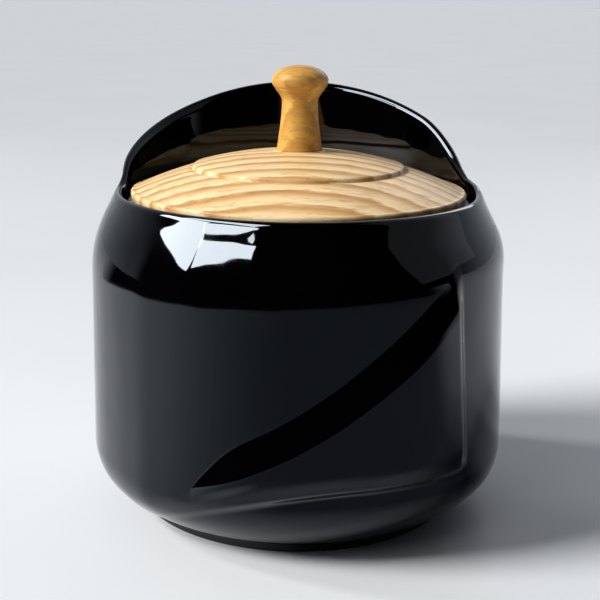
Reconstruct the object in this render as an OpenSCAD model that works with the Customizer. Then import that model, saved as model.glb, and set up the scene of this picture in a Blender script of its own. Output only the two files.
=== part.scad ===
// Sugar bowl: a squat glazed canister with a raised back, a turned wooden lid with its knob and
// screw, and a clear seal ring. The origin is on the table under the middle of the bowl, +Z is up,
// and the front, which carries the swept relief, faces -Y. Sizes are in millimetres.

/* [Bowl] */
// Width of the bowl at its widest, just above the rounded base
bowl_w = 121.6; // [114:0.2:146]
// Height of the front rim above the table
rim_h = 93; // [78:1:112]
// Diameter of the mouth that the lid drops into
mouth_d = 101.6; // [84:0.2:104]
// Thickness of the rim and of the raised back
rim_t = 4; // [3:0.5:5]
// Width of the seat inside the mouth that the seal rests on
seat_w = 5.8; // [4:0.2:7]
// How far below the rim the sloped shoulder meets the wall
shoulder_drop = 12; // [9:0.5:15]
// Radius that softens the corner between shoulder and wall
shoulder_round = 14; // [6:1:18]
// How much narrower the wall is at the shoulder than at the base, on each side
wall_taper = 0.7; // [0:0.1:2]
// Radius of the rounded base
base_round = 18; // [12:1:22]
// Thickness of the wall
wall_t = 5; // [4:0.5:6]
// Thickness of the floor
floor_t = 5; // [4:0.5:7]

/* [Foot ring] */
// Outer diameter of the foot ring
foot_d = 97; // [92:1:101]
// Width of the foot ring
foot_w = 5; // [3:0.5:7]
// Height of the foot ring
foot_h = 2; // [1:0.5:3]

/* [Raised back] */
// How far the back rises above the front rim
back_rise = 28; // [18:1:40]

/* [Swept panel] */
// How far the panel stands proud of the wall at its highest
panel_proud = 2.8; // [1:0.2:4]
// Direction in which the panel stands proud, in degrees from the front towards +X
panel_dir = 48; // [20:1:60]
// Height of the swept edge at the middle of the front
sweep_h = 35; // [30:1:42]
// Rise of the swept edge for each millimetre across the front
sweep_rise = 0.6; // [0.4:0.05:0.7]
// How strongly the swept edge curves upward
sweep_curl = 0.0045; // [0:0.0005:0.006]
// Slope of the ledge above the swept edge, in degrees from level
ledge_slope = 70; // [50:1:75]
// Distance from the middle to the pointed left end of the panel
panel_left = 28; // [20:1:34]
// Distance from the middle to the right edge of the panel
panel_right = 46; // [40:1:48]
// Height of the panel's lower edge at its right end
panel_foot_h = 20; // [18:1:26]

/* [Lid] */
// Gap between the lid and the mouth
lid_gap = 1.8; // [0.8:0.2:3]
// Height of the lid's dome above its widest edge
dome_h = 12; // [8:0.5:18]
// Depth of the lid's edge below its widest line
edge_h = 2.4; // [1.5:0.1:4]
// Diameter of the raised middle of the lid
crown_d = 62; // [44:1:76]
// Height of the step around the raised middle
crown_step = 0.9; // [0.4:0.1:2]
// Length of the spigot that centres the lid in the throat
spigot_h = 6; // [5:0.5:10]

/* [Seal ring] */
// Thickness of the seal's sleeve around the spigot
sleeve_t = 1.4; // [1:0.1:2]
// Thickness of the seal's flat lip
lip_t = 1.5; // [1:0.1:2]
// Number of fins around the sleeve
fins = 2; // [1:1:3]
// How far the fins stand out from the sleeve
fin_w = 1; // [0.5:0.1:1.5]
// How far the sleeve stops short of the spigot's end
sleeve_gap = 1; // [0.5:0.5:2]

/* [Knob] */
// Height of the knob
knob_h = 24.3; // [20:0.1:32]
// Height of the narrowest part of the neck above the knob's base
knob_neck_h = 12.6; // [10:0.1:15]
// Height of the domed top of the knob's head
knob_head_h = 4.4; // [2:0.1:7]
// Diameter of the knob's head
knob_head_d = 16.4; // [13:0.2:22]
// Diameter of the knob's neck
knob_neck_d = 10.4; // [9:0.2:12]
// Diameter of the knob's base
knob_base_d = 13.4; // [12.6:0.2:18]

/* [Screw] */
// Diameter over the screw's thread
screw_d = 3.8; // [3:0.1:4.5]
// Depth of thread left in the knob
screw_bite = 11.5; // [8:0.5:14]
// Diameter of the screw's countersunk head
screw_head_d = 7.6; // [6.6:0.1:9]
// Pitch of the thread
screw_pitch = 1.4; // [1:0.1:2]

/* [Clearances] */
// Gap under the seal's lip when the lid is down
seat_clear = 0.3; // [0.2:0.1:0.6]
// Gap between the seal's fins and the throat
throat_clear = 0.4; // [0.3:0.1:0.8]
// Gap around the screw in the wood
screw_clear = 0.05; // [0.05:0.05:0.3]
// Gap around the knob's base in the flat on the lid
land_clear = 0.3; // [0.1:0.1:0.6]

/* [Hidden] */
$fn = 128;
// Straight pieces in each drawn curve
STEPS = 10;
// Longer than anything in the model
FAR = 400;
// How far pieces reach into each other so that they join
EPS = 0.01;
// How far cutting shapes reach past the part they cut
SPARE = 8;
// Corner radii of turned and moulded edges
CRISP = 0.3;
SOFT = 0.8;

glaze_colour = [0.05, 0.055, 0.065];
pine_colour = [0.93, 0.79, 0.58];
knob_colour = [0.84, 0.66, 0.42];
seal_colour = [0.86, 0.87, 0.85];
steel_colour = [0.62, 0.62, 0.60];

// Bowl radii
bowl_r = bowl_w / 2;
mouth_r = mouth_d / 2;
foot_r = foot_d / 2;
rim_mid_r = mouth_r + rim_t / 2;
back_r = mouth_r + rim_t;
shoulder_r = bowl_r - wall_taper;
throat_r = mouth_r - seat_w;

// Height of the throat under the seat, the slope below it and the roundings at its ends
throat_h = 6;
throat_slope = 0.8;
throat_round = 2;
cavity_round = 10;

// Bowl heights
rim_mid_z = rim_h - rim_t / 2;
shoulder_z = rim_h - shoulder_drop;
floor_z = foot_h + floor_t;

// How deep the edge of the knob's flat is cut into the lid
land_sink = 0.035;

// How far in from the lid's widest line its underside and its dome begin
edge_in = 1.4;
brim_in = 1;

// Lid, seal and screw, placed from the mouth and the rim
lid_r = mouth_r - lid_gap;
lip_r = mouth_r - lid_gap / 2;
edge_z = rim_h - edge_h;
seat_z = edge_z - lip_t - seat_clear;
sleeve_r = throat_r - throat_clear - fin_w;
spigot_r = sleeve_r - sleeve_t;
spigot_z = edge_z - spigot_h;
crown_r = crown_d / 2;
lid_top_z = rim_h + dome_h;

// The dome is one ball through the lid's edge, and the crown lies a step above it
ball_h = dome_h - crown_step;
ball_r = (lid_r * lid_r + ball_h * ball_h) / (2 * ball_h);

// The knob stands on a flat cut into the crown
land_r = knob_base_d / 2 + land_clear;
land_z = lid_top_z - ball_r + sqrt(ball_r * ball_r - land_r * land_r) - land_sink;
screw_r = screw_d / 2;
screw_root_r = screw_r - screw_pitch / 3;
screw_tip_z = land_z + screw_bite;
head_h = (screw_head_d - screw_d) / 2;

// Throat and cavity
throat_z = seat_z - throat_h;
cavity_top_z = throat_z - (shoulder_r - wall_t - throat_r) * throat_slope;

function unit(v) = v / norm(v);

function turn_to(a, b) = b - a > 180 ? b - a - 360 : b - a < -180 ? b - a + 360 : b - a;

// Arc that rounds the corner p between the points a and b
function corner(a, p, b, r) =
    let (
        u = unit(a - p),
        v = unit(b - p),
        half = acos(u * v) / 2,
        c = p + unit(u + v) * r / sin(half),
        s = p + u * r / tan(half) - c,
        e = p + v * r / tan(half) - c,
        from = atan2(s.y, s.x),
        turn = turn_to(from, atan2(e.y, e.x))
    )
    [for (i = [0 : STEPS]) c + r * [cos(from + turn * i / STEPS), sin(from + turn * i / STEPS)]];

function flat(p) = [p[0], p[1]];

// Open path from points of [radius, height, corner radius]. The two end points only give directions.
function path(p) =
    [for (i = [1 : len(p) - 2])
        each p[i][2] == 0 ? [flat(p[i])] : corner(flat(p[i - 1]), flat(p[i]), flat(p[i + 1]), p[i][2])];

// Closed outline from the same kind of points
function outline(p) = path(concat([p[len(p) - 1]], p, [p[0]]));

// Height of the lid's brim at radius r
function dome_z(r) = rim_h + ball_h - ball_r + sqrt(ball_r * ball_r - r * r);

// Height of the panel's swept edge at x
function sweep_z(x) = sweep_h + sweep_rise * x + sweep_curl * x * x;

// Where the shoulder's slope touches the round of the rim
shoulder_arm = [shoulder_r - rim_mid_r, shoulder_z - rim_mid_z];
rim_turn = atan2(shoulder_arm.y, shoulder_arm.x) + acos(rim_t / 2 / norm(shoulder_arm));

rim_round = [for (i = [0 : STEPS])
    let (a = rim_turn + (180 - rim_turn) * i / STEPS)
    [rim_mid_r + rim_t / 2 * cos(a), rim_mid_z + rim_t / 2 * sin(a)]];

// Outside of the bowl from the middle of the base to the rim, drawn in by inset
function bowl_outside(inset) =
    let (
        base = [bowl_r - inset, foot_h + inset],
        turn = [shoulder_r - inset, shoulder_z],
        top = [rim_round[0].x - inset, rim_round[0].y]
    )
    concat(
        corner([0, foot_h + inset], base, turn, base_round - inset),
        corner(base, turn, top, shoulder_round)
    );

// Inside of the bowl from the mouth down to the middle of the floor
bowl_inside = path([
    [mouth_r, rim_mid_z, 0],
    [mouth_r, seat_z, SOFT],
    [throat_r, seat_z, SOFT],
    [throat_r, throat_z, throat_round],
    [shoulder_r - wall_t, cavity_top_z, cavity_round],
    [bowl_r - wall_t, floor_z, base_round - wall_t],
    [0, floor_z, 0],
    [0, foot_h, 0]
]);

module bowl_shell() {
    rotate_extrude()
        polygon(concat([[0, foot_h]], bowl_outside(0), rim_round, bowl_inside));
}

module foot_ring() {
    rotate_extrude()
        polygon(outline([
            [foot_r - foot_w, 0, SOFT],
            [foot_r, 0, SOFT],
            [foot_r, foot_h + floor_t / 2, 0],
            [foot_r - foot_w, foot_h + floor_t / 2, 0]
        ]));
}

// The back half of the rim carried up to a sloping crest
module raised_back() {
    past_r = back_r + SPARE;
    intersection() {
        rotate_extrude()
            translate([mouth_r, rim_mid_z])
                square([rim_t, back_rise + rim_t]);
        rotate([90, 0, 90])
            linear_extrude(2 * back_r, center = true)
                polygon([
                    [0, rim_mid_z],
                    [past_r, rim_mid_z],
                    [past_r, rim_h + back_rise * past_r / back_r],
                    [0, rim_h]
                ]);
    }
}

// Everything below a ledge that slopes forward and down from the swept edge
module under_sweep() {
    span = panel_left + panel_right + 2 * SPARE;
    xs = [for (i = [0 : STEPS]) -panel_left - SPARE + span * i / STEPS];
    edge = [for (x = xs) [
        x,
        sweep_z(x) * cos(ledge_slope)
            + sqrt(pow(bowl_r + panel_proud, 2) - x * x) * sin(ledge_slope)
    ]];
    rotate([90 + ledge_slope, 0, 0])
        linear_extrude(FAR, center = true)
            polygon(concat([[xs[STEPS], 0], [xs[0], 0]], edge));
}

// Front outline of the panel, extruded straight back. It dips and runs out at its lower left.
module panel_front() {
    run_out = 6;
    dip = 8;
    sag = 1;
    lean = 2;
    rotate([90, 0, 0])
        linear_extrude(FAR / 2)
            polygon([
                [-panel_left - run_out, panel_foot_h - dip],
                [0, panel_foot_h - sag],
                [panel_right, panel_foot_h],
                [panel_right - lean, shoulder_z + lean],
                [-panel_left, shoulder_z + lean],
                [-panel_left, sweep_z(-panel_left)]
            ]);
}

// The bowl moved towards its front right and cut to the panel's outline. It is hollowed out to
// just inside the wall.
module swept_panel() {
    sunk = 1;
    difference() {
        intersection() {
            translate(panel_proud * [sin(panel_dir), -cos(panel_dir), 0])
                rotate_extrude()
                    polygon(concat([[0, foot_h]], bowl_outside(0), [rim_round[0], [0, rim_round[0].y]]));
            under_sweep();
            panel_front();
        }
        rotate_extrude()
            polygon(concat(
                [[0, foot_h + sunk]],
                bowl_outside(sunk),
                [rim_round[0] - [sunk, 0], [0, rim_round[0].y]]
            ));
    }
}

module bowl_body() {
    color(glaze_colour)
        union() {
            bowl_shell();
            foot_ring();
            raised_back();
            swept_panel();
        }
}

module lid_disc() {
    brim_r = lid_r - brim_in;
    cove_r = crown_r + crown_step;
    brim = [for (i = [0 : STEPS])
        let (r = brim_r + (cove_r - brim_r) * i / STEPS)
        [r, dome_z(r)]];
    crown = [for (i = [0 : STEPS])
        let (r = crown_r * (STEPS - i) / STEPS)
        [r, dome_z(r) + crown_step]];
    edge = path([
        [0, spigot_z, 0],
        [spigot_r, spigot_z, SOFT],
        [spigot_r, edge_z, 0],
        [lid_r - edge_in, edge_z, SOFT],
        [lid_r, rim_h - edge_h / 3, 2 * CRISP],
        [lid_r, rim_h, CRISP],
        [brim_r, dome_z(brim_r), 0]
    ]);
    color(pine_colour)
        difference() {
            rotate_extrude()
                polygon(concat([[0, spigot_z]], edge, brim, crown));
            translate([0, 0, land_z])
                cylinder(r = land_r, h = dome_h);
            cylinder(r = screw_r + screw_clear, h = FAR);
            screw_seat();
        }
}

// Cone that the screw's head sinks into
module screw_seat() {
    translate([0, 0, spigot_z - EPS])
        cylinder(
            r1 = screw_head_d / 2 + screw_clear,
            r2 = screw_r + screw_clear,
            h = head_h
        );
}

module lid_seal_ring() {
    sleeve_z = spigot_z + sleeve_gap;
    fin_gap = (edge_z - sleeve_z) / (fins + 1);
    fin_half = 0.5;
    color(seal_colour)
        union() {
            rotate_extrude()
                polygon([
                    [spigot_r, edge_z],
                    [lip_r, edge_z],
                    [lip_r, edge_z - lip_t],
                    [sleeve_r, edge_z - lip_t],
                    [sleeve_r, sleeve_z],
                    [spigot_r, sleeve_z]
                ]);
            for (i = [1 : fins])
                rotate_extrude()
                    translate([sleeve_r - EPS, edge_z - lip_t / 2 - fin_gap * i])
                        polygon([[0, -fin_half], [fin_w + EPS, 0], [0, fin_half]]);
        }
}

module lid_knob() {
    base_r = knob_base_d / 2;
    neck_r = knob_neck_d / 2;
    head_r = knob_head_d / 2;
    hole_spare = 1;
    head_z = knob_h - knob_head_h;
    foot = [for (i = [0 : STEPS])
        let (t = i / STEPS)
        [neck_r + (base_r - neck_r) * (1 + cos(180 * t)) / 2, knob_neck_h * t]];
    flare = [for (i = [1 : STEPS])
        let (t = i / STEPS)
        [
            neck_r + (head_r - neck_r) * (1 - cos(180 * t)) / 2,
            knob_neck_h + (head_z - knob_neck_h) * t
        ]];
    dome = [for (i = [1 : STEPS])
        let (a = 90 * i / STEPS)
        [head_r * cos(a), head_z + knob_head_h * sin(a)]];
    color(knob_colour)
        difference() {
            translate([0, 0, land_z])
                rotate_extrude()
                    polygon(concat([[0, 0]], foot, flare, dome));
            translate([0, 0, land_z - EPS])
                cylinder(r = screw_r + screw_clear, h = screw_bite + hole_spare);
        }
}

module knob_screw() {
    shank_h = 4;
    flank = 0.35;
    blunt = 0.8;
    rim_in = 0.1;
    slot_w = 1;
    slot_h = 1.4;
    thread_z = spigot_z + head_h + shank_h;
    threads = floor((screw_tip_z - thread_z - screw_r) / screw_pitch);
    teeth = [for (i = [0 : threads - 1])
        each [
            [screw_root_r, thread_z + screw_pitch * (i + 0.5 - flank)],
            [screw_r, thread_z + screw_pitch * (i + 0.5)],
            [screw_root_r, thread_z + screw_pitch * (i + 0.5 + flank)]
        ]];
    color(steel_colour)
        difference() {
            rotate_extrude()
                polygon(concat(
                    [[0, spigot_z], [screw_head_d / 2 - rim_in, spigot_z]],
                    [[screw_root_r, spigot_z + head_h]],
                    teeth,
                    [[screw_root_r * blunt, screw_tip_z - screw_r], [0, screw_tip_z]]
                ));
            for (a = [0, 90])
                rotate([0, 0, a])
                    translate([-screw_head_d / 4, -slot_w / 2, spigot_z - EPS])
                        cube([screw_head_d / 2, slot_w, slot_h + EPS]);
        }
}

bowl_body();
lid_disc();
lid_seal_ring();
lid_knob();
knob_screw();
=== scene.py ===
"""Sugar bowl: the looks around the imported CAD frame. All sizes are in metres."""

import math

import bpy
import numpy as np
from mathutils import Euler, Matrix, Vector


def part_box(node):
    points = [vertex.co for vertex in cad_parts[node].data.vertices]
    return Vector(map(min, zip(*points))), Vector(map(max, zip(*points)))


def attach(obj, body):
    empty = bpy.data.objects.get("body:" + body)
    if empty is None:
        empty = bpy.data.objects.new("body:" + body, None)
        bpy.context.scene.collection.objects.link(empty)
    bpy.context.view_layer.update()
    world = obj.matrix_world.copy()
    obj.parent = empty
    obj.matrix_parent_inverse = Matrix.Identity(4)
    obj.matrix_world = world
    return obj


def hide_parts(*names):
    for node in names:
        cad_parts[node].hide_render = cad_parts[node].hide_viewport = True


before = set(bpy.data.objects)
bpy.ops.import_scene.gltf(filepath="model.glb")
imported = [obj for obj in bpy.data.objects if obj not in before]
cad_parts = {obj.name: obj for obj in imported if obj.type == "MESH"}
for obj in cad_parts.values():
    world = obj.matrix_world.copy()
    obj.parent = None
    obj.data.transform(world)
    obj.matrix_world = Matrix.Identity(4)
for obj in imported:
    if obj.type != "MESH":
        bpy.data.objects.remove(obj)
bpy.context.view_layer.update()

MM = 0.001

# ---------------------------------------------------------------- sizes read from the frame

_, BOWL_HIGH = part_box("bowl_body")
LID_LOW, LID_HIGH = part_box("lid_disc")
SEAL_LOW, SEAL_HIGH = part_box("lid_seal_ring")
KNOB_LOW, KNOB_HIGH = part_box("lid_knob")

# The underside of the lid's edge lies this far below the front rim
LID_EDGE = 2.4 * MM
RIM_Z = SEAL_HIGH.z + LID_EDGE
CREST_Z = BOWL_HIGH.z
BOWL_R = BOWL_HIGH.x
LID_R = LID_HIGH.x
LIP_R = SEAL_HIGH.x
MOUTH_R = 2 * LIP_R - LID_R
RIM_T = 4 * MM
WALL_T = 5 * MM
WALL_TAPER = 0.7 * MM
BASE_ROUND = 18 * MM
SHOULDER_DROP = 12 * MM
FOOT_R = 47.8 * MM
FOOT_W = 5 * MM
FOOT_H = 2 * MM
FLOOR_ROUND = 13 * MM
# Rows of bare clay under the foot ring, as far as the glaze on its outer rounding
CLAY_ROWS = 9
SEAT_W = 5.8 * MM
THROAT_R = MOUTH_R - SEAT_W

# The seal ring round the lid's spigot: its lip stops short of the seat, its fins of the throat
LIP_T = 1.5 * MM
SLEEVE_T = 1.4 * MM
FIN_W = 1.0 * MM
SEAT_CLEAR = 0.3 * MM
THROAT_CLEAR = 0.4 * MM
SEAT_Z = SEAL_HIGH.z - LIP_T - SEAT_CLEAR
SPIGOT_R = THROAT_R - THROAT_CLEAR - FIN_W - SLEEVE_T

# The lid's raised middle. Its step is 0.2 mm lower here than in the CAD
CROWN_R = 31 * MM
CROWN_STEP = 0.7 * MM

# The knob. The heights on it are shares of its whole height
KNOB_BASE_R = 6.7 * MM
KNOB_NECK_R = 5.2 * MM
KNOB_NECK_AT = 0.57
KNOB_LINE_AT = 0.73
KNOB_HEAD_AT = 0.82

# The swept panel on the front
FACE_PROUD = 0.9 * MM
PANEL_PROUD = 2.9 * MM
PANEL_TIP_X = -28 * MM
PANEL_RIGHT_X = 45.6 * MM
LEDGE_H = 8.4 * MM

# Half the width of the floor and of the reflection card
STAGE_HALF = 60.0
# The height the window panes face
SHOULDER_Z = 0.085
DAYLIGHT = (1.0, 0.99, 0.97)

# Length of the handles that bend a Bezier curve into a quarter of a circle of radius 1
CIRCLE_PULL = 0.5523


# ---------------------------------------------------------------- small helpers

def smoothstep(low, high, value):
    """0 below low, 1 above high, smooth between."""
    t = np.clip((value - low) / (high - low), 0, 1)
    return t * t * (3 - 2 * t)


def soft_min(a, b, width):
    """The smaller of a and b, with the corner between them rounded over width."""
    h = np.clip(width - np.abs(a - b), 0, None) / width
    return np.minimum(a, b) - h * h * width / 4


def soft_max(a, b, width):
    """The larger of a and b, with the corner between them rounded over width."""
    return -soft_min(-a, -b, width)


def soft_clamp(t, round_off):
    """t held between 0 and 1, with both ends rounded."""
    return soft_min(soft_max(t, 0 * t, round_off), 0 * t + 1, round_off)


def ring_mesh(name, rows, materials, row_material=None, close_ends=True):
    """A surface from rows of points round the Z axis: rows[i][j] is point j of row i.

    With close_ends a fan of faces shuts the first and the last row.
    """
    rows = np.asarray(rows, float)
    n_rows, n_cols = rows.shape[:2]
    points = rows.reshape(-1, 3)
    low = np.arange(n_cols)
    high = np.roll(low, -1)
    faces = []
    mats = []
    for i in range(n_rows - 1):
        a, b = i * n_cols, (i + 1) * n_cols
        faces += np.stack([a + low, a + high, b + high, b + low], 1).tolist()
        mats += [row_material(i) if row_material else 0] * n_cols
    if close_ends:
        ends = [rows[0].mean(0), rows[-1].mean(0)]
        first, last = len(points), len(points) + 1
        points = np.vstack([points, ends])
        top = (n_rows - 1) * n_cols
        faces += np.stack([low * 0 + first, high, low], 1).tolist()
        faces += np.stack([low * 0 + last, top + low, top + high], 1).tolist()
        mats += [row_material(0) if row_material else 0] * n_cols
        mats += [row_material(n_rows - 1) if row_material else 0] * n_cols
    mesh = bpy.data.meshes.new(name)
    mesh.from_pydata(points.tolist(), [], faces)
    for material in materials:
        mesh.materials.append(material)
    mesh.polygons.foreach_set("material_index", mats)
    mesh.polygons.foreach_set("use_smooth", [True] * len(faces))
    mesh.update()
    piece = bpy.data.objects.new(name, mesh)
    bpy.context.scene.collection.objects.link(piece)
    return piece


def lathe(name, profile, material, count=256, close_ends=True):
    """Turns a profile of (radius, height) points, from the bottom up, round the Z axis."""
    angle = np.linspace(-math.pi, math.pi, count, endpoint=False)
    profile = np.asarray(profile)
    rows = np.stack([
        profile[:, :1] * np.sin(angle),
        -profile[:, :1] * np.cos(angle),
        profile[:, 1:] + 0 * angle,
    ], -1)
    return ring_mesh(name, rows, [material], close_ends=close_ends)


def arc(centre, radius, start, end, count):
    """Points on an arc, with the angles in degrees."""
    a = np.radians(np.linspace(start, end, count))
    return np.stack([centre[0] + radius * np.cos(a), centre[1] + radius * np.sin(a)], -1)


def spread(start, end, count):
    """Evenly spaced points on a straight line, without its last point."""
    t = np.linspace(0, 1, count, endpoint=False)[:, None]
    return np.asarray(start) * (1 - t) + np.asarray(end) * t


# ---------------------------------------------------------------- materials

def new_material(name):
    material = bpy.data.materials.new(name)
    material.use_nodes = True
    tree = material.node_tree
    return material, tree, tree.nodes["Principled BSDF"]


def add(tree, kind, **settings):
    node = tree.nodes.new("ShaderNode" + kind)
    for key, value in settings.items():
        setattr(node, key, value)
    return node


def noise(tree, vector, scale, detail=2.0, roughness=0.5):
    node = add(tree, "TexNoise")
    node.inputs["Scale"].default_value = scale
    node.inputs["Detail"].default_value = detail
    node.inputs["Roughness"].default_value = roughness
    tree.links.new(vector, node.inputs["Vector"])
    return node.outputs["Fac"]


def math_node(tree, operation, a, b=None):
    node = add(tree, "Math", operation=operation)
    for socket, value in zip(node.inputs, (a, b)):
        if value is None:
            continue
        if isinstance(value, (int, float)):
            socket.default_value = value
        else:
            tree.links.new(value, socket)
    return node.outputs[0]


def stretched(tree, scale, turn=(0, 0, 0), offset=(0, 0, 0)):
    """Object coordinates, stretched, then turned, then shifted."""
    place = add(tree, "TexCoord")
    mapping = add(tree, "Mapping")
    mapping.inputs["Scale"].default_value = scale
    mapping.inputs["Rotation"].default_value = turn
    mapping.inputs["Location"].default_value = offset
    tree.links.new(place.outputs["Object"], mapping.inputs["Vector"])
    return mapping.outputs["Vector"]


def ramp(tree, value, stops):
    node = add(tree, "ValToRGB")
    elements = node.color_ramp.elements
    while len(elements) < len(stops):
        elements.new(0.5)
    for element, (position, colour) in zip(elements, stops):
        element.position = position
        element.color = (*colour, 1)
    tree.links.new(value, node.inputs["Fac"])
    return node.outputs["Color"]


def span(tree, value, low, high):
    """Maps 0..1 to low..high."""
    node = add(tree, "MapRange")
    node.inputs["To Min"].default_value = low
    node.inputs["To Max"].default_value = high
    tree.links.new(value, node.inputs["Value"])
    return node.outputs["Result"]


def smooth_range(tree, value, low, high):
    """0 at low, 1 at high, smooth between."""
    node = add(tree, "MapRange", interpolation_type="SMOOTHSTEP")
    node.inputs["From Min"].default_value = low
    node.inputs["From Max"].default_value = high
    tree.links.new(value, node.inputs["Value"])
    return node.outputs["Result"]


def multiply_colours(tree, share, a, b):
    """Colour a, darkened by colour b as far as share says."""
    node = add(tree, "Mix", data_type="RGBA", blend_type="MULTIPLY")
    sockets = {s.identifier: s for s in node.inputs}
    sockets["Factor_Float"].default_value = share
    tree.links.new(a, sockets["A_Color"])
    tree.links.new(b, sockets["B_Color"])
    return next(s for s in node.outputs if s.identifier == "Result_Color")


def bump(tree, shader, heights, distance):
    node = add(tree, "Bump")
    node.inputs["Distance"].default_value = distance
    tree.links.new(heights, node.inputs["Height"])
    tree.links.new(node.outputs["Normal"], shader.inputs["Normal"])


def glaze_material():
    """Black glossy glaze: nearly black, slightly wavy, with a faint mottle in its gloss."""
    material, tree, shader = new_material("black_glaze")
    place = stretched(tree, (1, 1, 1))
    broad = noise(tree, place, 38, 2)
    fine = noise(tree, place, 420, 3)
    colour = ramp(tree, broad, [(0.3, (0.0002, 0.0002, 0.0004)), (0.7, (0.0006, 0.0006, 0.0010))])
    tree.links.new(colour, shader.inputs["Base Color"])
    tree.links.new(span(tree, fine, 0.015, 0.04), shader.inputs["Roughness"])
    shader.inputs["IOR"].default_value = 1.5
    shader.inputs["Specular IOR Level"].default_value = 0.46
    shader.inputs["Specular Tint"].default_value = (0.82, 0.91, 1.0, 1)
    ripple = noise(tree, place, 140, 1)
    height = math_node(tree, "ADD", broad, math_node(tree, "MULTIPLY", fine, 0.003))
    height = math_node(tree, "ADD", height, math_node(tree, "MULTIPLY", ripple, 0.05))
    bump(tree, shader, height, 0.3 * MM)
    return material


def bare_clay_material():
    """Unglazed stoneware on the foot ring."""
    material, tree, shader = new_material("bare_clay")
    place = stretched(tree, (1, 1, 1))
    speckle = noise(tree, place, 1500, 4, 0.7)
    colour = ramp(tree, speckle, [
        (0.35, (0.36, 0.30, 0.24)), (0.5, (0.58, 0.52, 0.45)), (0.7, (0.68, 0.62, 0.55)),
    ])
    tree.links.new(colour, shader.inputs["Base Color"])
    tree.links.new(span(tree, speckle, 0.75, 0.95), shader.inputs["Roughness"])
    bump(tree, shader, speckle, 0.12 * MM)
    return material


def wood_material(name, ring_turn, ring_gap, grain_scale, tones, gloss, wander):
    """Pine: growth rings as wavy layers, fine fibres along them, pores and a thin satin coat."""
    material, tree, shader = new_material(name)
    place = stretched(tree, (1, 1, 1), ring_turn)
    drift = noise(tree, stretched(tree, grain_scale, ring_turn), 14, 2)
    uneven = noise(tree, stretched(tree, (1, 1, 1), ring_turn, (2, 2, 2)), 26, 1)
    fibre_scale = tuple(10 * s for s in grain_scale)
    fibre = noise(tree, stretched(tree, fibre_scale, ring_turn, (3, 1, 2)), 60, 5, 0.7)
    pore_scale = tuple(30 * s for s in grain_scale)
    pores = noise(tree, stretched(tree, pore_scale, ring_turn, (7, 5, 1)), 50, 3, 0.7)
    split = add(tree, "SeparateXYZ")
    tree.links.new(place, split.inputs[0])
    across = math_node(tree, "ADD", split.outputs["Y"], math_node(tree, "MULTIPLY", drift, wander))
    across = math_node(tree, "ADD", across, math_node(tree, "MULTIPLY", uneven, ring_gap * 0.9))
    across = math_node(tree, "ADD", across, math_node(tree, "MULTIPLY", fibre, ring_gap * 0.42))
    phase = math_node(tree, "FRACT", math_node(tree, "DIVIDE", across, ring_gap))
    rings = ramp(tree, phase, [
        (0.0, tones[0]), (0.38, tones[1]), (0.60, tones[2]),
        (0.74, tones[3]), (0.84, tones[2]), (0.94, tones[0]),
    ])
    streaks = ramp(tree, fibre, [
        (0.34, (0.66, 0.58, 0.48)), (0.50, (0.92, 0.90, 0.86)), (0.62, (1.0, 1.0, 1.0)),
    ])
    specks = ramp(tree, pores, [(0.30, (0.42, 0.28, 0.18)), (0.38, (1.0, 1.0, 1.0))])
    colour = multiply_colours(tree, 0.85, rings, streaks)
    colour = multiply_colours(tree, 0.6, colour, specks)
    tree.links.new(colour, shader.inputs["Base Color"])
    tree.links.new(span(tree, fibre, gloss + 0.16, gloss), shader.inputs["Roughness"])
    shader.inputs["Specular IOR Level"].default_value = 0.12
    shader.inputs["Coat Weight"].default_value = 0.02
    shader.inputs["Coat Roughness"].default_value = 0.2
    bump(tree, shader, fibre, 0.05 * MM)
    return material


def silicone_material():
    """Clear, slightly milky silicone with a faint dusting."""
    material, tree, shader = new_material("clear_silicone")
    place = stretched(tree, (1, 1, 1))
    haze = noise(tree, place, 300, 3)
    colour = ramp(tree, haze, [(0.3, (0.80, 0.81, 0.80)), (0.7, (0.92, 0.92, 0.90))])
    tree.links.new(colour, shader.inputs["Base Color"])
    tree.links.new(span(tree, haze, 0.22, 0.38), shader.inputs["Roughness"])
    shader.inputs["Transmission Weight"].default_value = 0.7
    shader.inputs["IOR"].default_value = 1.41
    bump(tree, shader, haze, 0.05 * MM)
    return material


def steel_material():
    """Zinc-plated screw with turning marks."""
    material, tree, shader = new_material("screw_steel")
    marks = noise(tree, stretched(tree, (1, 1, 12)), 600, 3)
    colour = ramp(tree, marks, [(0.3, (0.42, 0.42, 0.41)), (0.7, (0.66, 0.66, 0.63))])
    tree.links.new(colour, shader.inputs["Base Color"])
    tree.links.new(span(tree, marks, 0.22, 0.42), shader.inputs["Roughness"])
    shader.inputs["Metallic"].default_value = 1.0
    bump(tree, shader, marks, 0.04 * MM)
    return material


def floor_material():
    """Plain pale surface with a barely visible cloudiness, and painted shade that makes it a little
    darker towards the back.
    """
    material, tree, shader = new_material("pale_floor")
    cloud = noise(tree, stretched(tree, (1, 1, 1)), 5, 3)
    colour = ramp(tree, cloud, [(0.3, (0.74, 0.765, 0.80)), (0.7, (0.79, 0.81, 0.835))])
    # Painted shade: the colour darkens towards the back, and a little towards the right
    split = add(tree, "SeparateXYZ")
    tree.links.new(stretched(tree, (1, 1, 1)), split.inputs[0])
    aside = math_node(tree, "MULTIPLY", split.outputs["X"], 0.25)
    far = math_node(tree, "ADD", split.outputs["Y"], aside)
    shade = ramp(tree, far, [
        (0.0, (1.0, 1.0, 1.0)), (0.25, (0.92, 0.92, 0.92)), (1.0, (0.80, 0.80, 0.80)),
    ])
    colour = multiply_colours(tree, 1.0, colour, shade)
    tree.links.new(colour, shader.inputs["Base Color"])
    shader.inputs["Roughness"].default_value = 0.55
    return material


PINE_TONES = [(0.92, 0.72, 0.43), (0.87, 0.62, 0.33), (0.68, 0.40, 0.16), (0.58, 0.31, 0.11)]
KNOB_TONES = [(0.70, 0.40, 0.10), (0.66, 0.36, 0.08), (0.59, 0.31, 0.07), (0.52, 0.26, 0.06)]


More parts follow.
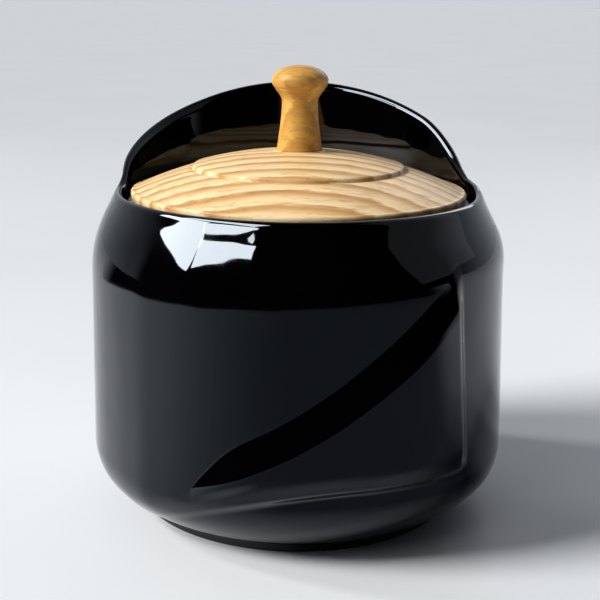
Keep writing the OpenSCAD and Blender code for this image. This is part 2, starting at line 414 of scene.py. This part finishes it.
# ---------------------------------------------------------------- the bowl

def sweep_low(x):
    """Height of the lower, outer edge of the panel's sloped ledge at x."""
    x = x / MM
    return (35.3 + 0.593 * x + 0.00445 * x * x) * MM


def ledge_height(x):
    """Height of the sloped ledge at x: it opens from a point at the panel's left tip."""
    t = np.clip((x - PANEL_TIP_X) / (16 * MM), 0, 1)
    return LEDGE_H * (1 - (1 - t) ** 2.2)


def panel_foot(x):
    """Height of the front face's lower edge at x."""
    x = np.minimum(x / MM - 18, 0)
    return (23.7 - 0.0042 * x * x) * MM


def crest_z(phi):
    """Height of the top of the rim, which sweeps up round the back."""
    back = math.pi - np.abs(phi)
    right = phi > 0
    lean = np.where(right, 9.0, 0) * smoothstep(math.radians(48), math.radians(73), back)
    lean = lean - np.where(right, 0, 3.6) * smoothstep(math.radians(30), math.radians(72), back)
    lean = lean * (1 - smoothstep(math.radians(76), math.radians(92), back))
    rise = np.cos(back + np.radians(lean))
    soft = np.where(right, 0.1, 0.05)
    lift = (rise + np.sqrt(rise * rise + soft * soft)) / 2
    top = (1 + np.sqrt(1 + soft * soft)) / 2
    return RIM_Z + (CREST_Z - RIM_Z) * lift / top


def outer_radius(z, phi):
    """Radius of the bowl's outside above the rounded base, before lump and relief are added."""
    corner = RIM_Z - SHOULDER_DROP - 0.9 * MM
    start = RIM_Z - 1.1 * MM
    top_r = MOUTH_R + RIM_T
    base_z = FOOT_H + BASE_ROUND
    wall = BOWL_R - WALL_TAPER * (z - base_z) / (corner - base_z)
    cone_r = top_r - 0.7 * MM
    cone = cone_r + (BOWL_R - WALL_TAPER - cone_r) * (start - z) / (start - corner)
    # The shoulder is rounder on the left of the front than on its right
    left = 1 - smoothstep(math.radians(-12), math.radians(50), phi)
    front = 1 - smoothstep(math.radians(85), math.radians(125), np.abs(phi))
    shoulder = soft_min(wall, cone, (1.7 + (0.6 + 1.8 * left) * front) * MM)
    hooded = smoothstep(0.3 * MM, 11 * MM, crest_z(phi) - RIM_Z)
    upright = top_r - 0.1 * MM - 2.0 * MM * (1 - hooded)
    return soft_max(shoulder, upright + 0 * z, 1.4 * MM)


def lump(phi, z):
    """How far the wall strays from round: flatter sides, fuller low on the right, and a faint
    upright ridge on the left of the front.
    """
    square = 0.35 * MM * (1 - np.cos(4 * phi))
    right = smoothstep(0.2, 1.0, np.sin(phi))
    full = 0.5 * MM + 0.9 * MM * right * (1 - smoothstep(20 * MM, 75 * MM, z))
    corner = 0.24 * MM * np.exp(-(((phi + math.radians(41.5)) / math.radians(4.0)) ** 2))
    return square + full + corner * smoothstep(8 * MM, 16 * MM, z)


def relief(phi, z):
    """How far the front face and its swept panel stand out of the round wall at height z."""
    x = (BOWL_R + PANEL_PROUD) * np.sin(phi)
    front = np.cos(phi) > 0
    low = sweep_low(x)
    tall = np.maximum(ledge_height(x), 0.5 * MM)
    edge = PANEL_PROUD * ledge_height(x) / LEDGE_H
    # The panel thins towards its right end
    slim = 1 - 0.42 * smoothstep(30 * MM, 45 * MM, x)
    under = PANEL_PROUD * smoothstep(-38 * MM, 2 * MM, x)
    away = smoothstep(0, 4.5 * MM, low - z)
    ledge = (edge * (1 - away) + under * away) * (1 - soft_clamp((z - low) / tall, 0.22))
    right = PANEL_RIGHT_X - (z - 50 * MM) * 0.056
    inside = 1 - smoothstep(right - 2.6 * MM, right + 1.4 * MM, x)
    foot = panel_foot(x)
    # The face leans in towards its foot, and ends there in a small step
    lean = np.clip(0.8 * (low - foot), 1.6 * MM, 7 * MM)
    broad = smoothstep(foot - 1.5 * MM, foot + lean, z)
    crisp = smoothstep(foot - 2.2 * MM, foot + 0.9 * MM, z)
    above = 0.6 * broad + 0.4 * crisp
    left = smoothstep(math.radians(-60), math.radians(-38), phi)
    top = 1 - smoothstep(74 * MM, 86 * MM, z)
    recess = 0.3 * MM * (1 - above) * smoothstep(3 * MM, 7 * MM, z)
    recess = recess * smoothstep(math.radians(-54), math.radians(-42), phi) * inside
    return np.where(front, (ledge + FACE_PROUD * left * top) * slim * inside * above - recess, 0)


def bowl_angles():
    """Angles round the bowl, closer together on the front where the relief is."""
    half = math.radians(62)
    front = np.linspace(-half, half, 400, endpoint=False)
    rest = np.linspace(half, 2 * math.pi - half, 260, endpoint=False)
    phi = np.concatenate([front, rest])
    return np.where(phi > math.pi, phi - 2 * math.pi, phi)


def bowl_rows(phi):
    """Rows of (radius, height) round the bowl, from the middle of the base up, over and inside."""
    one = np.ones_like(phi)
    rows = []
    recess_z = FOOT_H + 0.3 * MM
    inner = FOOT_R - FOOT_W
    under = np.vstack([
        spread((1 * MM, recess_z), (inner - 1.2 * MM, recess_z), 12),
        arc((inner - 1.2 * MM, recess_z - 0.7 * MM), 0.7 * MM, 90, 0, 5),
    ])
    for r, z in under:
        rows.append((r * one, z * one))
    clay_start = len(rows)
    for r, z in arc((inner + 0.8 * MM, 0.8 * MM), 0.8 * MM, 180, 270, 6):
        rows.append((r * one, z * one))
    for r, z in arc((FOOT_R - 0.8 * MM, 0.8 * MM), 0.8 * MM, 270, 360, 8):
        rows.append((r * one, z * one))
    clay_end = clay_start + CLAY_ROWS
    rows.append((FOOT_R * one, 1.2 * MM * one))
    # The foot's side runs up into the rounded base
    centre_r = BOWL_R - BASE_ROUND
    centre_z = FOOT_H + BASE_ROUND
    start = math.degrees(math.acos((FOOT_R + 0.5 * MM - centre_r) / BASE_ROUND))
    base = arc((centre_r, centre_z), BASE_ROUND, -start, 0, 70)
    rows.append(((FOOT_R + 0.1 * MM) * one, 1.9 * MM * one))
    for r, z in base[:-1]:
        fade = smoothstep(3 * MM, 14 * MM, z)
        rows.append((r + lump(phi, z) * fade + relief(phi, z), z * one))
    # The wall, in three bands whose borders follow the sloped ledge
    x = (BOWL_R + PANEL_PROUD) * np.sin(phi)
    x_held = np.clip(x, -38 * MM, 47 * MM)
    near = smoothstep(math.cos(math.radians(85)), math.cos(math.radians(60)), np.cos(phi))
    low = sweep_low(x_held) - 1.6 * MM
    high = sweep_low(x_held) + ledge_height(x_held) + 1.6 * MM
    low = low * near + 45 * MM * (1 - near)
    high = high * near + 55 * MM * (1 - near)
    low = soft_max(low, (centre_z + 1.5 * MM) * one, 2 * MM)
    high = soft_max(high, low + 3 * MM, 1 * MM)
    crown = (2.0 + 1.0 * smoothstep(0.5 * MM, 10 * MM, crest_z(phi) - RIM_Z)) * MM
    top = crest_z(phi) - crown
    high = soft_min(high, 84 * MM * one, 2 * MM)
    levels = []
    for a, b, count in ((centre_z * one, low, 70), (low, high, 56), (high, top, 80)):
        for t in np.linspace(0, 1, count, endpoint=False):
            levels.append(a + (b - a) * t)
    levels.append(top)
    for z in levels:
        fade = 1 - smoothstep(76 * MM, 91 * MM, z)
        rows.append((outer_radius(z, phi) + (lump(phi, z) + relief(phi, z)) * fade, z))
    # The rounded crest, then down the inside of the back and the mouth
    outer_r, outer_z = rows[-1]
    before_r, before_z = rows[-2]
    lean = (outer_r - before_r) / np.maximum(outer_z - before_z, 1e-6)
    inner_r = MOUTH_R + 0.5 * MM * smoothstep(0.5 * MM, 8 * MM, crest_z(phi) - RIM_Z)
    half = (outer_r - inner_r) / 2
    mid_r = (outer_r + inner_r) / 2
    peak = crest_z(phi)
    for t in np.linspace(0, 1, 12)[1:]:
        b = ((1 - t) ** 3, 3 * t * (1 - t) ** 2, 3 * t * t * (1 - t), t ** 3)
        up = crown * CIRCLE_PULL
        r = b[0] * outer_r + b[1] * (outer_r + lean * up)
        r = r + b[2] * (mid_r + half * CIRCLE_PULL) + b[3] * mid_r
        z = b[0] * outer_z + b[1] * (outer_z + up) + b[2] * peak + b[3] * peak
        rows.append((r, z))
    for a in np.radians(np.linspace(90, 180, 12)[1:]):
        rows.append((mid_r + half * math.cos(a), peak - crown + crown * math.sin(a)))
    mouth_z = SEAT_Z + 1.0 * MM
    inside_top = rows[-1][1]
    for t in np.linspace(0, 1, 40)[1:]:
        inward = inner_r + (MOUTH_R - inner_r) * smoothstep(0, 0.9, t)
        rows.append((inward, inside_top + (mouth_z - inside_top) * t))
    floor_z = FOOT_H + WALL_T
    cavity_top = SEAT_Z - 14 * MM
    wall_r = BOWL_R - WALL_TAPER - WALL_T
    inside = np.vstack([
        arc((MOUTH_R - 1 * MM, SEAT_Z + 1 * MM), 1 * MM, 0, -90, 6),
        spread((MOUTH_R - 1.5 * MM, SEAT_Z), (THROAT_R + 0.9 * MM, SEAT_Z), 4),
        arc((THROAT_R + 0.9 * MM, SEAT_Z - 0.9 * MM), 0.9 * MM, 90, 180, 6),
        spread((THROAT_R, SEAT_Z - 1.4 * MM), (THROAT_R, SEAT_Z - 5 * MM), 5),
        spread(
            (THROAT_R + 0.3 * MM, SEAT_Z - 5.8 * MM),
            (wall_r - 2.5 * MM, cavity_top + 2 * MM), 12,
        ),
        spread(
            (wall_r - 0.6 * MM, cavity_top - 1.5 * MM),
            (BOWL_R - WALL_T, floor_z + FLOOR_ROUND), 20,
        ),
        arc((BOWL_R - WALL_T - FLOOR_ROUND, floor_z + FLOOR_ROUND), FLOOR_ROUND, 0, -90, 16),
        spread((BOWL_R - WALL_T - 15 * MM, floor_z), (1 * MM, floor_z), 14),
    ])
    for r, z in inside:
        rows.append((r * one, z * one))
    return rows, clay_start, clay_end


def make_bowl():
    """The glazed bowl in one surface, with bare clay under its foot ring."""
    phi = bowl_angles()
    rows, clay_start, clay_end = bowl_rows(phi)
    radius = np.array([r for r, _ in rows])
    height = np.array([z + 0 * phi for _, z in rows])
    points = np.stack([radius * np.sin(phi), -radius * np.cos(phi), height], -1)
    bowl = ring_mesh(
        "glazed_bowl", points, [glaze_material(), bare_clay_material()],
        row_material=lambda i: 1 if clay_start <= i < clay_end else 0,
    )
    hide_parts("bowl_body")
    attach(bowl, "bowl")


# ---------------------------------------------------------------- the lid

def make_lid():
    """The turned lid: spigot, rounded edge, domed brim, a small cove and the raised crown."""
    under = SEAL_HIGH.z
    land_z = KNOB_LOW.z
    ball_h = LID_HIGH.z - RIM_Z - CROWN_STEP
    ball_r = (LID_R ** 2 + ball_h ** 2) / (2 * ball_h)

    def dome(r):
        return RIM_Z + ball_h - ball_r + np.sqrt(ball_r ** 2 - r ** 2)

    brim_r = np.linspace(LID_R - 1.3 * MM, CROWN_R + 1.5 * MM, 40)
    crown_in = np.linspace(CROWN_R - 0.5 * MM, 7.3 * MM, 40)
    edge_round = 1.1 * MM
    cove = [
        (CROWN_R + 1.0 * MM, dome(CROWN_R + 1.0 * MM) - 0.15 * MM),
        (CROWN_R + 0.6 * MM, dome(CROWN_R) - 0.42 * MM),
        (CROWN_R + 0.25 * MM, dome(CROWN_R) - 0.48 * MM),
        (CROWN_R + 0.05 * MM, dome(CROWN_R) - 0.25 * MM),
        (CROWN_R, dome(CROWN_R) + 0.2 * MM),
        (CROWN_R - 0.04 * MM, dome(CROWN_R) + CROWN_STEP - 0.35 * MM),
        (CROWN_R - 0.2 * MM, dome(CROWN_R) + CROWN_STEP - 0.1 * MM),
    ]
    profile = np.vstack([
        spread((1 * MM, LID_LOW.z), (SPIGOT_R - 0.8 * MM, LID_LOW.z), 20),
        arc((SPIGOT_R - 0.8 * MM, LID_LOW.z + 0.8 * MM), 0.8 * MM, -90, 0, 6),
        spread((SPIGOT_R, LID_LOW.z + 1.2 * MM), (SPIGOT_R, under), 4),
        spread((SPIGOT_R, under), (LID_R - 2.4 * MM, under), 5),
        arc((LID_R - 2.0 * MM, RIM_Z - 0.5 * MM), 2.0 * MM, -80, 0, 12),
        arc((LID_R - edge_round, RIM_Z - 0.35 * MM), edge_round, 5, 68, 8),
        np.stack([brim_r, dome(brim_r)], -1),
        cove,
        np.stack([crown_in, dome(crown_in) + CROWN_STEP], -1),
        spread((7.1 * MM, land_z), (1 * MM, land_z), 4),
    ])
    material = wood_material(
        "lid_pine", (math.radians(9), 0, math.radians(4)), 6.2 * MM, (0.16, 1.0, 1.0),
        PINE_TONES, 0.3, 9 * MM,
    )
    lid = lathe("turned_lid", profile, material, 320)
    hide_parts("lid_disc")
    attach(lid, "lid")


def make_knob():
    """The turned knob: a waisted stem, a flared head with a fine turned line, and a domed top."""
    head_r = KNOB_HIGH.x
    height = KNOB_HIGH.z - KNOB_LOW.z
    neck_z = height * KNOB_NECK_AT
    head_z = height * KNOB_HEAD_AT
    t = np.linspace(0, 1, 40)
    foot = np.stack([
        KNOB_NECK_R + (KNOB_BASE_R - KNOB_NECK_R) * (1 - t) ** 1.6,
        KNOB_LOW.z + neck_z * t,
    ], -1)
    flare = np.stack([
        KNOB_NECK_R + (head_r - KNOB_NECK_R) * (1 - np.cos(math.pi * t)) / 2,
        KNOB_LOW.z + neck_z + (head_z - neck_z) * t,
    ], -1)[1:]
    share = (flare[:, 1] - KNOB_LOW.z) / height
    flare[:, 0] -= 0.14 * MM * np.exp(-((share - KNOB_LINE_AT) / 0.012) ** 2)
    a = np.linspace(0, math.pi / 2, 30)[1:-1]
    dome = np.stack([head_r * np.cos(a), KNOB_LOW.z + head_z + (height - head_z) * np.sin(a)], -1)
    under = spread((1 * MM, KNOB_LOW.z), (KNOB_BASE_R, KNOB_LOW.z), 4)
    profile = np.vstack([under, foot, flare, dome])
    material = wood_material(
        "knob_pine", (0, math.radians(90), math.radians(20)), 4.2 * MM, (0.2, 1.0, 1.0),
        KNOB_TONES, 0.28, 5 * MM,
    )
    knob = lathe("turned_knob", profile, material, 160)
    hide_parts("lid_knob")
    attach(knob, "lid")


def make_seal():
    """A silicone sleeve on the spigot with two fins and a flat lip under the lid's edge."""
    top = SEAL_HIGH.z
    lip_low = top - LIP_T
    sleeve_r = SPIGOT_R + SLEEVE_T
    fin_r = sleeve_r + FIN_W
    low = SEAL_LOW.z
    fin_gap = (top - LIP_T / 2 - low) / 3
    profile = [(SPIGOT_R, low), (sleeve_r - 0.3 * MM, low), (sleeve_r, low + 0.3 * MM)]
    for i in (2, 1):
        z = top - LIP_T / 2 - fin_gap * i
        profile += [
            (sleeve_r, z - 0.55 * MM), (fin_r - 0.15 * MM, z - 0.12 * MM), (fin_r, z),
            (fin_r - 0.15 * MM, z + 0.12 * MM), (sleeve_r, z + 0.55 * MM),
        ]
    profile += [(sleeve_r, lip_low - 0.2 * MM), (sleeve_r + 0.2 * MM, lip_low)]
    profile = np.vstack([
        profile,
        arc((LIP_R - 0.5 * MM, lip_low + 0.5 * MM), 0.5 * MM, -90, 0, 6),
        arc((LIP_R - 0.5 * MM, top - 0.5 * MM), 0.5 * MM, 0, 90, 6),
        [(SPIGOT_R, top)],
    ])
    closed = np.vstack([profile, profile[:1]])
    seal = lathe("clear_seal", closed, silicone_material(), close_ends=False)
    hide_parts("lid_seal_ring")
    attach(seal, "lid")


# ---------------------------------------------------------------- studio

def level_square(name, z, material):
    """A level square at height z, as wide as the stage."""
    corners = [(x * STAGE_HALF, y * STAGE_HALF, z) for x, y in ((-1, -1), (1, -1), (1, 1), (-1, 1))]
    mesh = bpy.data.meshes.new(name)
    mesh.from_pydata(corners, [], [(0, 1, 2, 3)])
    mesh.materials.append(material)
    square = bpy.data.objects.new(name, mesh)
    bpy.context.scene.collection.objects.link(square)
    return square


def make_floor():
    floor = level_square("floor", 0, floor_material())


def area_light(name, place, aim, width, height, radiance):
    """A rectangular lamp that faces aim and is equally bright at any size."""
    light = bpy.data.lights.new(name, "AREA")
    light.shape = "RECTANGLE"
    light.size, light.size_y = width, height
    light.energy = radiance * math.pi * width * height
    lamp = bpy.data.objects.new(name, light)
    lamp.location = place
    lamp.rotation_euler = (Vector(aim) - Vector(place)).to_track_quat("-Z", "Y").to_euler()
    bpy.context.scene.collection.objects.link(lamp)
    return lamp


def make_world():
    """A dim room: nearly black in front, at the sides and overhead, softly bright behind."""
    world = bpy.data.worlds.new("room")
    bpy.context.scene.world = world
    world.use_nodes = True
    tree = world.node_tree
    back = tree.nodes["Background"]
    place = add(tree, "TexCoord")
    split = add(tree, "SeparateXYZ")
    tree.links.new(place.outputs["Generated"], split.inputs[0])
    shade = ramp(tree, span(tree, split.outputs["Y"], 0.5, 1.0), [
        (0.5, (0.002, 0.002, 0.002)), (0.68, (0.30, 0.32, 0.35)), (1.0, (0.62, 0.65, 0.70)),
    ])
    tree.links.new(shade, back.inputs["Color"])
    back.inputs["Strength"].default_value = 1.0


def sun_light(name, toward, strength, spread_angle):
    """A sun in the direction toward, which reflections don't show."""
    light = bpy.data.lights.new(name, "SUN")
    light.energy = strength
    light.angle = math.radians(spread_angle)
    light.color = DAYLIGHT
    lamp = bpy.data.objects.new(name, light)
    lamp.rotation_euler = Vector(toward).to_track_quat("Z", "Y").to_euler()
    lamp.location = Vector(toward) * 2
    lamp.visible_glossy = False
    bpy.context.scene.collection.objects.link(lamp)


def compass(azimuth, elevation):
    """A direction from the bowl: azimuth 0 is the front and 90 the right, in degrees."""
    a, e = math.radians(azimuth), math.radians(elevation)
    return Vector((math.sin(a) * math.cos(e), -math.cos(a) * math.cos(e), math.sin(e)))


def window_pane(name, azimuths, elevations, radiance, glossy_only=True, distance=1.3, roll=0):
    """A glowing pane that covers about these directions, seen from the bowl's middle.

    Its roll, in degrees, raises the end at the larger azimuth.
    """
    centre = Vector((0, 0, SHOULDER_Z))
    azimuth = sum(azimuths) / 2
    elevation = sum(elevations) / 2
    wide = math.radians(azimuths[1] - azimuths[0])
    tall = math.radians(elevations[1] - elevations[0])
    width = 2 * distance * math.tan(wide / 2) * math.cos(math.radians(elevation))
    height = 2 * distance * math.tan(tall / 2)
    place = centre + compass(azimuth, elevation) * distance
    lamp = area_light(name, place, centre, width, height, radiance)
    rolled = Matrix.Rotation(math.radians(roll), 3, "Z")
    lamp.rotation_euler = (lamp.rotation_euler.to_matrix() @ rolled).to_euler()
    if glossy_only:
        lamp.visible_diffuse = False
        lamp.visible_transmission = False


def make_lights():
    window_pane("pane_left", (-98, -61), (28.5, 40.5), 24)
    window_pane("pane_right", (-61.5, -27), (32.6, 38.0), 24, roll=9)
    window_pane("pane_top", (-90, -26), (43.5, 58), 20)
    window_pane("pane_behind", (138, 166), (20, 36), 3)
    window_pane("card_right", (60, 118), (12, 62), 0.2)
    window_pane("window_glow", (-92, -26), (22, 50), 1.0, glossy_only=False)
    bpy.data.objects["window_glow"].visible_glossy = False
    sun_light("day_behind", compass(-104, 34), 0.9, 7)
    sun_light("day_front", compass(-76, 34), 4.2, 22)


def make_front_card():
    """Painted shade: a dark card just above the floor that only reflections show. It darkens the
    floor they mirror in front of the bowl, and farther out it is nearly black like a dark room.
    """
    material, tree, shader = new_material("reflected_shade_card")
    split = add(tree, "SeparateXYZ")
    place = stretched(tree, (1, 1, 1))
    tree.links.new(place, split.inputs[0])
    # The painted shade fades in away from the bowl, and out towards the left and the right
    reach = add(tree, "VectorMath", operation="LENGTH")
    tree.links.new(place, reach.inputs[0])
    near = smooth_range(tree, reach.outputs["Value"], 0.056, 0.090)
    left = math_node(tree, "MULTIPLY", split.outputs["X"], -1.0)
    ahead = math_node(tree, "MULTIPLY", split.outputs["Y"], -1.0)
    bearing = math_node(tree, "ARCTAN2", left, ahead)
    to_left = smooth_range(tree, bearing, math.radians(88), 0.0)
    to_right = smooth_range(tree, bearing, math.radians(-90), math.radians(-70))
    # Farther out it stays dark well round to the left
    far = smooth_range(tree, reach.outputs["Value"], 0.35, 0.39)
    far_left = smooth_range(tree, bearing, math.radians(128), math.radians(116))
    shade = math_node(tree, "MULTIPLY", near, to_left)
    shade = math_node(tree, "MAXIMUM", shade, math_node(tree, "MULTIPLY", far, far_left))
    shade = math_node(tree, "MULTIPLY", shade, to_right)
    tree.links.new(shade, shader.inputs["Alpha"])
    # Painted shade: the card gets darker still farther out, nearly black beyond about 0.43 m
    distant = smooth_range(tree, reach.outputs["Value"], 0.34, 0.43)
    colour = ramp(tree, distant, [(0.0, (0.16, 0.175, 0.205)), (1.0, (0.004, 0.004, 0.005))])
    tree.links.new(colour, shader.inputs["Base Color"])
    shader.inputs["Roughness"].default_value = 1.0
    shader.inputs["Specular IOR Level"].default_value = 0.0
    card = level_square("front_card", 1 * MM, material)
    card.visible_camera = False
    card.visible_diffuse = False
    card.visible_shadow = False
    card.visible_transmission = False


def make_camera():
    data = bpy.data.cameras.new("camera")
    data.lens = 69.8
    data.sensor_width = 36
    camera = bpy.data.objects.new("camera", data)
    pitch, yaw, roll = math.radians(14.38), math.radians(0.13), math.radians(0.75)
    turn = Euler((math.pi / 2 - pitch, 0, -yaw)).to_matrix() @ Matrix.Rotation(roll, 3, "Z")
    camera.rotation_euler = turn.to_euler()
    camera.location = (0, -0.340, 0.1466)
    bpy.context.scene.collection.objects.link(camera)
    bpy.context.scene.camera = camera


make_camera()
make_bowl()
make_lid()
make_seal()
make_knob()
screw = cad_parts["knob_screw"]
screw.data.materials.clear()
screw.data.materials.append(steel_material())
make_floor()
make_front_card()
make_world()
make_lights()
bpy.context.scene.view_settings.view_transform = "Standard"
